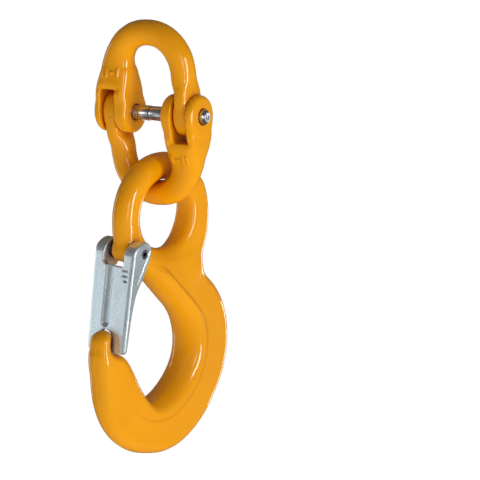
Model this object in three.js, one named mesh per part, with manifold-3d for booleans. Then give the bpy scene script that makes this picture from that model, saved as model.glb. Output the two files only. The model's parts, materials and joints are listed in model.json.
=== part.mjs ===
// Eye sling hook with a cast latch, hanging in a two-part connecting link.
// Millimetres, +Z up. The origin is the inner bearing point of the link's crown, where a chain or a
// master link seats. The link stands in the YZ plane with its load pin along Y; the hook's own plane
// is XZ turned by HOOK_TWIST about the vertical, with its throat on the -X side.
import * as THREE from "three";
import { mergeVertices } from "three/addons/utils/BufferGeometryUtils.js";
import Module from "manifold-3d";

const wasm = await Module();
wasm.setup();
const { Manifold, Mesh: ManifoldMesh } = wasm;
const RAD = Math.PI / 180;

// ---------------------------------------------------------------- driving dimensions
const WIRE = 7.5; // radius of the link's bow wire
const PIN_Z = -40.35; // height of the load pin's axis
const BOW_H = 47.85; // load pin axis to the bow's wire centre at the crown
const BOW_Y = 22.9; // the legs' centre line, each side of the middle
const EAR_R = 12.4; // radius of the fork's ears round the pin
const FORK_IN = 12.2; // inner face of the inner ear
const SLOT_IN = 19.7; // slot for the other half's tongue, from here
const SLOT_OUT = 30.3; // to here
const FORK_OUT = 35.2; // outer face of the outer ear
const SLOT_TOP = 14.8; // the slot's root above the pin axis
const TONGUE_IN = 20.05; // the tongue's faces
const TONGUE_OUT = 29.95;
const TONGUE_R = 12.0; // the tongue reaches this far below the pin axis
const TONGUE_X = 10.0; // and this far each side of it
const BORE_R = 5.1; // load pin bores
const PIN_R = 4.3; // load pin
const PIN_FROM = -38.4; // the pin's ends along Y
const PIN_TO = 34.6;
const NECK_R = 3.55; // the pin's middle neck, where the locking sleeve sits
const SLEEVE_Y = [0.9, 8.3];
const SLEEVE_IN = 3.85;
const SLEEVE_OUT = 4.75;

const EYE_R = 29.2; // centre line radius of the hook's eye
const EYE_WIRE = 8.1; // radius of the eye's wire
const HOOK_TWIST = -8 * RAD; // the hook's plane, turned from XZ
const HOOK_TILT = 5.7 * RAD; // it hangs with its centre of mass under the bearing point
const EYE_GAP = 0.2; // between the eye and the bow it hangs on
const PIVOT = [-29.8, -39.2]; // latch pivot in the hook's plane (x, z)
const LUG_R = 6.6;
const LUG_HALF = 7.9; // the hook's lug at the latch pivot, from its middle to the near ear
const LUG_FAR = 5.4; // and to its far face, where the spring's coil sits against it
const EAR_CLEAR = 10.6; // the lug's flats, round the pivot
const LATCH_PIN_R = 2.4;
const LATCH_BORE_R = 2.7;
const LATCH_HALF = [16.3, 15.2]; // half width of the latch, at the pivot and at the tip
const LATCH_SLOT = 8.25; // half width between the latch's ears
const LATCH_LEAN = 8.2 * RAD; // the front plate's lean in the hook's plane
const LATCH_FRONT = 9.55; // the front face's distance from the pivot
const LATCH_PLATE = 3.2; // plate thickness
const LATCH_TIP = 59.8; // pivot to the prongs' ends, along the plate
const SPRING_WIRE = 0.5; // radius of the spring's wire
const SPRING_R = 3.95; // mean radius of its coil
const POCKET_R = 4.85; // its pocket in the far ear
const POCKET_Y = 13.2;
const TANG_ANGLE = 40 * RAD; // where its short end stands in the lug

// ---------------------------------------------------------------- materials
const paint = () =>
  new THREE.MeshStandardMaterial({ color: 0xf2a010, roughness: 0.32, metalness: 0.0 });
const zinc = () =>
  new THREE.MeshStandardMaterial({ color: 0xb9c3ca, roughness: 0.5, metalness: 0.85 });
const bright = () =>
  new THREE.MeshStandardMaterial({ color: 0xc9ccd0, roughness: 0.25, metalness: 1.0 });
const darkSteel = () =>
  new THREE.MeshStandardMaterial({ color: 0x5a5c60, roughness: 0.4, metalness: 0.9 });

// ---------------------------------------------------------------- helpers
// A closed surface through rings of points (one ring per section), with a fan over each end.
function loft(rings, capCentres = [null, null]) {
  const n = rings[0].length;
  const pos = [];
  for (const r of rings) for (const p of r) pos.push(p.x, p.y, p.z);
  const idx = [];
  for (let i = 0; i + 1 < rings.length; i++)
    for (let j = 0; j < n; j++) {
      const a = i * n + j,
        b = i * n + ((j + 1) % n),
        c = a + n,
        d = b + n;
      idx.push(a, b, d, a, d, c);
    }
  for (const [k, r] of [
    [0, rings[0]],
    [1, rings[rings.length - 1]],
  ]) {
    const c =
      capCentres[k] ||
      r.reduce((s, p) => s.add(p), new THREE.Vector3()).multiplyScalar(1 / n);
    const at = pos.length / 3;
    pos.push(c.x, c.y, c.z);
    const base = k ? (rings.length - 1) * n : 0;
    for (let j = 0; j < n; j++) {
      const a = base + j,
        b = base + ((j + 1) % n);
      if (k) idx.push(a, b, at);
      else idx.push(b, a, at);
    }
  }
  const g = new THREE.BufferGeometry();
  g.setAttribute("position", new THREE.Float32BufferAttribute(pos, 3));
  g.setIndex(idx);
  return g;
}

// A geometry as a manifold-3d solid, turned the right way out.
function solid(geometry) {
  let g = geometry.clone();
  g.deleteAttribute("normal");
  g.deleteAttribute("uv");
  g = mergeVertices(g, 1e-4);
  const make = (t) =>
    new Manifold(
      new ManifoldMesh({
        numProp: 3,
        vertProperties: new Float32Array(g.attributes.position.array),
        triVerts: new Uint32Array(t),
      }),
    );
  const m = make(g.index.array);
  if (m.volume() >= 0) return m;
  const flipped = [];
  for (let i = 0; i < g.index.count; i += 3)
    flipped.push(g.index.array[i], g.index.array[i + 2], g.index.array[i + 1]);
  return make(flipped);
}
function geometryOf(m) {
  const mesh = m.getMesh();
  const n = mesh.numProp;
  const pos = new Float32Array(mesh.numVert * 3);
  for (let i = 0; i < mesh.numVert; i++)
    pos.set(mesh.vertProperties.subarray(i * n, i * n + 3), i * 3);
  const g = new THREE.BufferGeometry();
  g.setAttribute("position", new THREE.BufferAttribute(pos, 3));
  g.setIndex(new THREE.BufferAttribute(new Uint32Array(mesh.triVerts), 1));
  g.computeVertexNormals();
  return g;
}
const union = (list) => list.reduce((a, b) => a.add(b));

// Catmull-Rom through a table of number rows, `per` steps between rows.
function refine(rows, per) {
  const out = [];
  for (let i = 0; i + 1 < rows.length; i++) {
    const p0 = rows[Math.max(0, i - 1)],
      p1 = rows[i],
      p2 = rows[i + 1],
      p3 = rows[Math.min(rows.length - 1, i + 2)];
    for (let k = 0; k < per; k++) {
      const t = k / per;
      out.push(
        p1.map(
          (_, c) =>
            0.5 *
            (2 * p1[c] +
              (p2[c] - p0[c]) * t +
              (2 * p0[c] - 5 * p1[c] + 4 * p2[c] - p3[c]) * t * t +
              (3 * p1[c] - p0[c] - 3 * p2[c] + p3[c]) * t * t * t),
        ),
      );
    }
  }
  out.push(rows[rows.length - 1].slice());
  return out;
}
const sgnPow = (v, e) => Math.sign(v) * Math.pow(Math.abs(v), e);

// A cylinder along Y with rounded rims: a lathe turned onto the Y axis.
function disc(r, y0, y1, e0, e1, seg, arc = 3) {
  const pts = [new THREE.Vector2(0, y0)];
  if (e0 > 0)
    for (let k = 0; k <= arc; k++) {
      const a = (k / arc) * (Math.PI / 2);
      pts.push(new THREE.Vector2(r - e0 + e0 * Math.sin(a), y0 + e0 - e0 * Math.cos(a)));
    }
  else pts.push(new THREE.Vector2(r, y0));
  if (e1 > 0)
    for (let k = 0; k <= arc; k++) {
      const a = (k / arc) * (Math.PI / 2);
      pts.push(new THREE.Vector2(r - e1 + e1 * Math.cos(a), y1 - e1 + e1 * Math.sin(a)));
    }
  else pts.push(new THREE.Vector2(r, y1));
  pts.push(new THREE.Vector2(0, y1));
  return new THREE.LatheGeometry(pts, seg);
}
function box(x0, x1, y0, y1, z0, z1) {
  return new THREE.BoxGeometry(x1 - x0, y1 - y0, z1 - z0).translate(
    (x0 + x1) / 2,
    (y0 + y1) / 2,
    (z0 + z1) / 2,
  );
}

// ---------------------------------------------------------------- one half of the connecting link
// Its own frame: the pin axis is Y through the origin, the bow stands up +Z, the fork is on +Y and
// the tongue on -Y. Rows: centre y, centre z, half size across in the plane, half depth along X, and
// the power of the section (2 is an ellipse, more is squarer).
const LINK_ROWS = [
  [23.7, 3.0, 11.4, 12.0, 4.6],
  [23.7, 11.5, 11.5, 11.9, 4.4],
  [23.2, 17.5, 11.4, 10.9, 3.6],
  [22.6, 23.5, 10.7, 9.3, 2.9],
  [22.2, 29.0, 9.8, 8.2, 2.3],
  [20.4, 35.0, 8.8, 7.7, 2.05],
  [15.9, 41.8, 8.0, 7.5, 2.0],
  [8.6, 46.4, 7.6, 7.5, 2.0],
  [0.0, 47.85, 7.5, 7.5, 2.0],
  [-8.6, 46.4, 7.5, 7.5, 2.0],
  [-15.9, 41.8, 7.5, 7.5, 2.0],
  [-20.8, 35.0, 7.5, 7.5, 2.0],
  [-22.9, 27.5, 7.4, 7.5, 2.0],
  [-23.5, 20.5, 6.9, 7.9, 2.2],
  [-24.6, 16.0, 5.6, 8.9, 2.7],
  [-25.0, 13.2, 4.95, 9.5, 3.2],
  [-25.0, 9.0, 4.95, 9.9, 3.6],
  [-25.0, 2.0, 4.95, 10.0, 4.0],
];

function linkHalf(around, per, seg) {
  const rows = refine(LINK_ROWS, per);
  const rings = rows.map((row, i) => {
    const a = rows[Math.max(0, i - 1)],
      b = rows[Math.min(rows.length - 1, i + 1)];
    let ty = b[0] - a[0],
      tz = b[1] - a[1];
    const l = Math.hypot(ty, tz);
    ty /= l;
    tz /= l;
    const ny = -tz,
      nz = ty; // in the plane, square to the path
    const [y, z, h, d, p] = row;
    const ring = [];
    for (let k = 0; k < around; k++) {
      const q = (k / around) * 2 * Math.PI;
      const s = h * sgnPow(Math.cos(q), 2 / p),
        x = d * sgnPow(Math.sin(q), 2 / p);
      ring.push(new THREE.Vector3(x, y + ny * s, z + nz * s));
    }
    return ring;
  });
  const bow = solid(loft(rings));
  const fork = solid(disc(EAR_R, FORK_IN, FORK_OUT, 2.6, 3.6, seg));
  const tongue = solid(
    disc(TONGUE_R, -TONGUE_OUT, -TONGUE_IN, 1.6, 1.6, seg).scale(TONGUE_X / TONGUE_R, 1, 1),
  );
  let body = union([bow, fork, tongue]);
  // the slot for the other half's tongue, with a rounded root
  const slot = union([
    solid(box(-20, 20, SLOT_IN, SLOT_OUT, -30, SLOT_TOP - 2)),
    solid(box(-20, 20, SLOT_IN + 2, SLOT_OUT - 2, -30, SLOT_TOP)),
    solid(new THREE.CylinderGeometry(2, 2, 40, 16).rotateZ(Math.PI / 2).translate(0, SLOT_IN + 2, SLOT_TOP - 2)),
    solid(new THREE.CylinderGeometry(2, 2, 40, 16).rotateZ(Math.PI / 2).translate(0, SLOT_OUT - 2, SLOT_TOP - 2)),
  ]);
  body = body.subtract(slot);
  body = body.subtract(
    solid(new THREE.CylinderGeometry(BORE_R, BORE_R, 90, seg)),
  );
  return body;
}

// ---------------------------------------------------------------- hook
// Rows round the hook from the lug to the nose, in the hook's plane: inner edge x, z; outer edge x, z;
// full thickness near the inner and the outer edge; depth of the inner and of the outer rounding.
const HOOK_ROWS = [
  [-26.6, -48.0, -18.0, -40.0, 15.8, 15.8, 5.0, 5.0],
  [-21.9, -51.3, -9.0, -46.8, 17.0, 16.0, 6.0, 5.0],
  [-16.9, -55.2, 1.0, -48.2, 20.5, 16.4, 7.0, 6.0],
  [-12.0, -60.0, 12.5, -46.8, 23.4, 17.0, 8.2, 6.0],
  [-6.8, -65.2, 24.0, -46.0, 24.6, 17.6, 9.0, 6.0],
  [-1.2, -70.8, 31.6, -52.0, 25.0, 18.0, 9.5, 6.0],
  [4.8, -76.6, 36.6, -61.4, 25.0, 18.0, 9.5, 6.2],
  [10.8, -82.6, 46.2, -71.0, 25.0, 18.0, 9.5, 6.4],
  [15.5, -89.8, 53.6, -82.0, 25.0, 18.0, 9.5, 6.6],
  [18.2, -98.0, 57.4, -93.8, 25.0, 18.0, 9.5, 6.6],
  [18.9, -105.0, 58.6, -105.4, 25.0, 18.0, 9.5, 6.6],
  [17.9, -111.6, 57.2, -117.4, 25.0, 18.0, 9.5, 6.6],
  [15.2, -117.6, 53.4, -129.1, 25.0, 18.0, 9.5, 6.6],
  [11.0, -123.0, 47.3, -140.1, 25.0, 18.0, 9.5, 6.6],
  [5.4, -127.8, 38.8, -150.9, 24.8, 18.0, 9.5, 6.6],
  [-1.2, -131.6, 27.8, -160.1, 24.6, 18.0, 9.4, 6.6],
  [-8.2, -133.8, 14.8, -166.8, 24.4, 17.8, 9.2, 6.6],
  [-14.4, -132.8, 0.4, -169.2, 24.2, 17.6, 9.0, 6.6],
  [-19.2, -129.0, -13.2, -167.3, 24.0, 17.4, 8.8, 6.6],
  [-22.9, -123.4, -26.8, -162.5, 23.6, 17.0, 8.6, 6.6],
  [-26.1, -117.6, -38.4, -154.8, 23.2, 16.6, 8.4, 6.6],
  [-28.8, -111.8, -47.0, -144.6, 22.6, 16.2, 8.2, 6.6],
  [-31.4, -106.6, -52.2, -133.0, 21.8, 15.8, 8.0, 6.4],
  [-34.2, -103.0, -54.6, -121.5, 20.8, 15.4, 7.4, 6.2],
  [-37.8, -101.2, -55.3, -111.5, 20.0, 15.0, 6.0, 6.0],
  [-42.2, -100.4, -55.7, -104.5, 18.6, 14.4, 4.8, 5.6],
  [-46.6, -99.6, -55.6, -99.9, 16.0, 13.0, 3.6, 4.2],
];
function hookRing(row, nIn, nFlat, nOut) {
  const [ix, iz, ox, oz, wi, wo, ai, ao] = row;
  const D = Math.hypot(ox - ix, oz - iz);
  const ex = (ox - ix) / D,
    ez = (oz - iz) / D;
  const half = [];
  const a = Math.min(ai, D * 0.5),
    b = Math.min(ao, D - a);
  // the bearing line itself is a narrow flat, one chord of the inner rounding
  const q0 = Math.PI / 4 / (nIn + 0.5);
  for (let k = 0; k <= nIn; k++) {
    const q = q0 + (k / nIn) * (Math.PI / 2 - q0);
    half.push([a * (Math.cos(q0) - Math.cos(q)), (wi / 2) * Math.sin(q)]);
  }
  for (let k = 1; k < nFlat; k++) {
    const t = k / nFlat;
    half.push([a + (D - a - b) * t, wi / 2 + (wo / 2 - wi / 2) * t]);
  }
  for (let k = 0; k <= nOut; k++) {
    const q = ((k / nOut) * Math.PI) / 2;
    half.push([D - b + b * Math.sin(q), (wo / 2) * Math.cos(q)]);
  }
  const full = half.concat(
    half
      .slice(0, -1)
      .reverse()
      .map(([s, y]) => [s, -y]),
  );
  return full.map(([s, y]) => new THREE.Vector3(ix + ex * s, y, iz + ez * s));
}

function hookBody(per, ringSeg, wireSeg) {
  const rows = refine(HOOK_ROWS, per);
  const bowl = solid(loft(rows.map((r) => hookRing(r, 4, 2, 3))));
  // the eye: a ring of round wire, a little stouter where it runs into the shank
  const eyeRings = [];
  for (let i = 0; i < ringSeg; i++) {
    const a = (i / ringSeg) * 2 * Math.PI;
    const low = Math.max(0, -Math.sin(a)); // 1 at the bottom
    const r = EYE_WIRE + 0.5 * low;
    const rr = [];
    for (let k = 0; k < wireSeg; k++) {
      const q = (k / wireSeg) * 2 * Math.PI;
      const R = EYE_R + r * Math.cos(q);
      rr.push(new THREE.Vector3(R * Math.cos(a), Math.min(r, EYE_WIRE) * Math.sin(q), -EYE_R + EYE_WIRE + R * Math.sin(a)));
    }
    eyeRings.push(rr);
  }
  const pos = [],
    idx = [];
  for (const r of eyeRings) for (const p of r) pos.push(p.x, p.y, p.z);
  for (let i = 0; i < ringSeg; i++)
    for (let k = 0; k < wireSeg; k++) {
      const i2 = (i + 1) % ringSeg,
        k2 = (k + 1) % wireSeg;
      const a = i * wireSeg + k,
        b = i * wireSeg + k2,
        c = i2 * wireSeg + k,
        d = i2 * wireSeg + k2;
      idx.push(a, b, d, a, d, c);
    }
  const eg = new THREE.BufferGeometry();
  eg.setAttribute("position", new THREE.Float32BufferAttribute(pos, 3));
  eg.setIndex(idx);
  const eye = solid(eg);
  // the lug at the latch pivot
  const lug = solid(
    disc(LUG_R, -LUG_HALF, LUG_FAR, 1.5, 1.2, 28).translate(PIVOT[0], 0, PIVOT[1]),
  );
  // the nose's tip: a narrow tongue that stands in the latch's notch
  const tip = [];
  const tipRows = refine(
    [
      [-50.4, -107.0, 4.9, 7.2],
      [-50.7, -99.0, 4.9, 7.0],
      [-50.9, -93.0, 4.7, 6.8],
      [-50.4, -88.8, 4.5, 6.7],
      [-49.2, -86.0, 3.7, 5.3],
      [-48.4, -84.6, 2.2, 3.2],
      [-48.0, -84.1, 0.7, 1.0],
    ],
    2,
  );
  for (const [x, z, hx, hy] of tipRows) {
    const r = [];
    for (let k = 0; k < 18; k++) {
      const q = (k / 18) * 2 * Math.PI;
      r.push(new THREE.Vector3(x + hx * sgnPow(Math.cos(q), 0.9), hy * sgnPow(Math.sin(q), 0.9), z));
    }
    tip.push(r);
  }
  const nose = solid(loft(tip));
  // the shank: the eye's wire runs on down the back into the bowl
  const shank = solid(
    loft(
      refine(
        [
          [29.2, -21.1, 8.1, 8.1],
          [28.4, -30.0, 8.4, 8.2],
          [26.2, -40.0, 8.8, 8.6],
          [23.2, -50.0, 9.4, 9.0],
          [21.6, -60.0, 11.0, 9.6],
        ],
        2,
      ).map(([x, z, hx, hy]) => {
        const r = [];
        for (let k = 0; k < 18; k++) {
          const q = (k / 18) * 2 * Math.PI;
          r.push(new THREE.Vector3(x + hx * Math.cos(q), hy * Math.sin(q), z));
        }
        return r;
      }),
    ),
  );
  // the front of the eye runs down into the lug
  const cheek = solid(
    loft(
      refine(
        [
          [-29.2, -21.1, 8.1, 8.1],
          [-29.2, -28.0, 7.9, 8.1],
          [-29.0, -34.0, 7.3, 8.0],
          [-29.2, -39.2, 6.7, 7.9],
        ],
        2,
      ).map(([x, z, hx, hy]) => {
        const r = [];
        for (let k = 0; k < 18; k++) {
          const q = (k / 18) * 2 * Math.PI;
          r.push(new THREE.Vector3(x + hx * Math.cos(q), hy * Math.sin(q), z));
        }
        return r;
      }),
    ),
  );
  let body = union([bowl, eye, lug, nose, shank, cheek]);
  // flats each side of the lug, where the latch's ears turn
  for (const s of [-1, 1])
    body = body.subtract(
      solid(
        disc(EAR_CLEAR, s > 0 ? LUG_FAR : -40, s > 0 ? 40 : -LUG_HALF, 0, 0, 36).translate(
          PIVOT[0],
          0,
          PIVOT[1],
        ),
      ),
    );
  body = body.subtract(
    solid(
      new THREE.CylinderGeometry(LATCH_BORE_R, LATCH_BORE_R, 60, 24).translate(PIVOT[0], 0, PIVOT[1]),
    ),
  );
  // the hole for the spring's tang, in the far side of the lug
  const ta = TANG_ANGLE - LATCH_LEAN;
  body = body.subtract(
    solid(
      new THREE.CylinderGeometry(0.85, 0.85, 6, 14).translate(
        PIVOT[0] + SPRING_R * Math.cos(ta),
        LUG_FAR,
        PIVOT[1] + SPRING_R * Math.sin(ta),
      ),
    ),
  );
  return body;
}

// ---------------------------------------------------------------- latch
// Its own frame: pivot axis Y through the origin, the plate hanging down -Z with its front face at
// x = -LATCH_FRONT.
function latchBody() {
  // side outline of the cheeks: x forward is -, z along the plate
  const outline = [
    [-LATCH_FRONT, -1.4],
    [-LATCH_FRONT + 0.6, 0.8],
    [-7.4, 3.2],
    [-4.8, 5.4],
    [-1.6, 6.9],
    [1.2, 7.0],
    [3.6, 5.6],
    [5.1, 3.0],
    [5.4, 0.0],
    [5.0, -3.4],
    [3.9, -7.0],
    [2.3, -11.0],
    [0.6, -15.6],
    [-2.4, -22.0],
    [-4.2, -30.0],
    [-5.2, -42.0],
    [-5.7, -LATCH_TIP + 2.2],
    [-6.7, -LATCH_TIP],
    [-LATCH_FRONT + 0.8, -LATCH_TIP],
    [-LATCH_FRONT, -LATCH_TIP + 1.2],
  ];
  const shape = new THREE.Shape(outline.map(([x, z]) => new THREE.Vector2(x, z)));
  // extruded along the shape's own normal, then stood up so the shape lies in XZ
  const block = new THREE.ExtrudeGeometry(shape, { depth: 40, bevelEnabled: false, steps: 1 })
    .translate(0, 0, -20)
    .rotateX(Math.PI / 2);
  // plan outline: it tapers from the ears to the tip, with rounded ends
  const [w0, w1] = LATCH_HALF;
  const wAt = (z) => w0 + (w1 - w0) * Math.min(1, Math.max(0, -z / LATCH_TIP));
  const plan = [
    [-wAt(8.5), 12],
    [-wAt(-LATCH_TIP), -LATCH_TIP + 2.5],
    [-wAt(-LATCH_TIP) + 0.7, -LATCH_TIP + 0.7],
    [-wAt(-LATCH_TIP) + 2.5, -LATCH_TIP],
  ];
  const planFull = plan.concat(
    plan
      .slice()
      .reverse()
      .map(([y, z]) => [-y, z]),
  );
  const planShape = new THREE.Shape(planFull.map(([y, z]) => new THREE.Vector2(y, z)));
  // shape XY -> world YZ: x of the shape is Y, y of the shape is Z, extruded along X
  const planBlock = new THREE.ExtrudeGeometry(planShape, { depth: 60, bevelEnabled: false });
  planBlock.applyMatrix4(
    new THREE.Matrix4().makeBasis(
      new THREE.Vector3(0, 1, 0),
      new THREE.Vector3(0, 0, 1),
      new THREE.Vector3(1, 0, 0),
    ),
  );
  planBlock.translate(-30, 0, 0);
  let body = solid(block).intersect(solid(planBlock));
  // the fold between plate and cheeks is chamfered
  for (const s of [-1, 1]) {
    const w = wAt(-28);
    const c = new THREE.BoxGeometry(3, 3, 90)
      .rotateZ(Math.PI / 4)
      .translate(-LATCH_FRONT - 1.1, s * (w + 1.0), -25);
    const lean = Math.atan((w0 - w1) / LATCH_TIP);
    c.translate(0, 0, 28).rotateX(s * lean).translate(0, 0, -28);
    body = body.subtract(solid(c));
  }
  // hollow behind the plate, between the cheeks
  const back = -LATCH_FRONT + LATCH_PLATE;
  const hollowShape = new THREE.Shape(
    [
      [-(wAt(-9.5) - 2.9), -9.5],
      [-(w1 - 2.7), -LATCH_TIP - 5],
      [w1 - 2.7, -LATCH_TIP - 5],
      [wAt(-9.5) - 2.9, -9.5],
    ].map(([y, z]) => new THREE.Vector2(y, z)),
  );
  const hollow = new THREE.ExtrudeGeometry(hollowShape, { depth: 30, bevelEnabled: false });
  hollow.applyMatrix4(
    new THREE.Matrix4().makeBasis(
      new THREE.Vector3(0, 1, 0),
      new THREE.Vector3(0, 0, 1),
      new THREE.Vector3(1, 0, 0),
    ),
  );
  hollow.translate(back, 0, 0);
  body = body.subtract(solid(hollow));
  // the slot between the ears
  body = body.subtract(solid(box(-30, 30, -LATCH_SLOT, LATCH_SLOT, -7.6, 30)));
  body = body.subtract(solid(box(back, 30, -LATCH_SLOT, LATCH_SLOT, -30, 30)));
  // the pressed groove down the middle of the plate
  const groove = union([
    solid(new THREE.CylinderGeometry(5.2, 5.2, 35, 24).rotateX(Math.PI / 2).translate(-LATCH_FRONT - 3.6, 0, -24.5)),
    solid(new THREE.SphereGeometry(5.2, 24, 14).translate(-LATCH_FRONT - 3.6, 0, -42)),
  ]);
  body = body.subtract(groove);
  // the notch over the hook's nose
  body = body.subtract(
    union([
      solid(box(-30, 30, -5.4, 5.4, -LATCH_TIP - 10, -51.4)),
      solid(new THREE.CylinderGeometry(5.4, 5.4, 60, 28).rotateZ(Math.PI / 2).translate(0, 0, -51.4)),
    ]),
  );
  // bore, and the spring's pocket in the far ear
  body = body.subtract(solid(new THREE.CylinderGeometry(LATCH_BORE_R, LATCH_BORE_R, 60, 24)));
  const depth = POCKET_Y - LATCH_SLOT + 1;
  body = body.subtract(
    solid(new THREE.CylinderGeometry(POCKET_R, POCKET_R, depth, 28).translate(0, POCKET_Y - depth / 2, 0)),
  );
  body = body.subtract(solid(box(back, -2.6, POCKET_Y - 2.4, POCKET_Y, -14, 0)));
  return body;
}

// ---------------------------------------------------------------- small steel
function tubeY(ri, ro, y0, y1, ch, seg) {
  const p = [
    [ri, y0],
    [ro - ch, y0],
    [ro, y0 + ch],
    [ro, y1 - ch],
    [ro - ch, y1],
    [ri, y1],
    [ri, y0],
  ].map(([r, y]) => new THREE.Vector2(r, y));
  return new THREE.LatheGeometry(p, seg);
}
function loadPin() {
  const [a, b] = SLEEVE_Y;
  const p = [
    [0, PIN_FROM],
    [PIN_R - 1.3, PIN_FROM],
    [PIN_R, PIN_FROM + 1.5],
    [PIN_R, a - 0.5],
    [NECK_R, a - 0.1],
    [NECK_R, b + 0.1],
    [PIN_R, b + 0.5],
    [PIN_R, PIN_TO - 1.0],
    [PIN_R - 1.0, PIN_TO],
    [0, PIN_TO],
  ].map(([r, y]) => new THREE.Vector2(r, y));
  return solid(new THREE.LatheGeometry(p, 32));
}
function lockingSleeve() {
  const [a, b] = SLEEVE_Y;
  return solid(tubeY(SLEEVE_IN, SLEEVE_OUT, a + 0.2, b - 0.2, 0.3, 32)).subtract(
    solid(box(0, 10, a - 1, b + 1, -0.55, 0.55)),
  );
}
function latchPin() {
  return solid(tubeY(1.25, LATCH_PIN_R, -LATCH_HALF[0] + 0.4, LATCH_HALF[0] - 0.4, 0.35, 32)).subtract(
    solid(box(0, 5, -20, 20, -0.4, 0.4)),
  );
}
function latchSpring() {
  // a tang in the lug, four and a third turns beside the lug and in the far ear's pocket, and a leg down behind the plate
  const pts = [];
  const y0 = 6.6,
    y1 = POCKET_Y - 1.1;
  const sweep = Math.PI - TANG_ANGLE + 8 * Math.PI;
  const steps = 88;
  const at = (a, y) => new THREE.Vector3(SPRING_R * Math.cos(a), y, SPRING_R * Math.sin(a));
  pts.push(at(TANG_ANGLE, 3.1), at(TANG_ANGLE, 4.6), at(TANG_ANGLE, 5.9));
  for (let i = 1; i <= steps; i++) {
    const t = i / steps;
    pts.push(at(TANG_ANGLE + t * sweep, y0 + (y1 - y0) * t));
  }
  pts.push(new THREE.Vector3(-SPRING_R - 0.05, y1, -2.5));
  pts.push(new THREE.Vector3(-SPRING_R - 0.4, y1, -8));
  pts.push(new THREE.Vector3(-LATCH_FRONT + LATCH_PLATE + 0.75, y1, -17));
  pts.push(new THREE.Vector3(-LATCH_FRONT + LATCH_PLATE + 0.75, y1, -22));
  return new THREE.CatmullRomCurve3(pts, false, "centripetal");
}

// ---------------------------------------------------------------- assembly
const group = new THREE.Group();
group.name = "eye_hook_with_latch";
const add = (name, body, material, parent) => {
  const mesh = new THREE.Mesh(geometryOf(body), material);
  mesh.name = name;
  parent.add(mesh);
  return mesh;
};
const link = new THREE.Group();
link.position.set(0, 0, PIN_Z);
group.add(link);
add("link_upper_half", linkHalf(16, 2, 28), paint(), link);
const lower = new THREE.Group();
lower.rotation.x = Math.PI;
link.add(lower);
add("link_lower_half", linkHalf(16, 2, 28), paint(), lower);
add("load_pin", loadPin(), bright(), link);
add("locking_sleeve", lockingSleeve(), bright(), link);

// The eye's middle hangs under the bow's bearing point; the hook is turned and tilted about it.
const hook = new THREE.Group();
const EYE_IN = EYE_R - EYE_WIRE;
hook.position.set(0, 0, PIN_Z - BOW_H + WIRE + EYE_GAP - EYE_IN);
hook.rotation.set(0, HOOK_TILT, HOOK_TWIST, "ZYX");
group.add(hook);
const hookFrame = new THREE.Group();
hookFrame.position.set(0, 0, EYE_IN);
hook.add(hookFrame);
add("hook_body", hookBody(2, 40, 16), paint(), hookFrame);
const latchFrame = new THREE.Group();
latchFrame.position.set(PIVOT[0], 0, PIVOT[1]);
hookFrame.add(latchFrame);
add("latch_pin", latchPin(), darkSteel(), latchFrame);
const latchTurn = new THREE.Group();
latchTurn.rotation.y = LATCH_LEAN;
latchFrame.add(latchTurn);
add("latch", latchBody(), zinc(), latchTurn);
{
  const frames = 190;
  const rings = [];
  const P = latchSpring().getSpacedPoints(frames);
  let nrm = new THREE.Vector3(1, 0, 0);
  for (let i = 0; i <= frames; i++) {
    const t = P[Math.min(frames, i + 1)].clone().sub(P[Math.max(0, i - 1)]).normalize();
    const n1 = nrm.clone().sub(t.clone().multiplyScalar(nrm.dot(t))).normalize();
    const b1 = t.clone().cross(n1);
    nrm = n1;
    const ring = [];
    for (let k = 0; k < 6; k++) {
      const q = (k / 6) * 2 * Math.PI;
      ring.push(
        P[i]
          .clone()
          .add(n1.clone().multiplyScalar(SPRING_WIRE * Math.cos(q)))
          .add(b1.clone().multiplyScalar(SPRING_WIRE * Math.sin(q))),
      );
    }
    rings.push(ring);
  }
  add("latch_spring", solid(loft(rings)), darkSteel(), latchTurn);
}

export default group;
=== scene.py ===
import json
import math

import bpy
import numpy as np
import openvdb as vdb
from mathutils import Matrix, Vector, kdtree, noise

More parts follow.
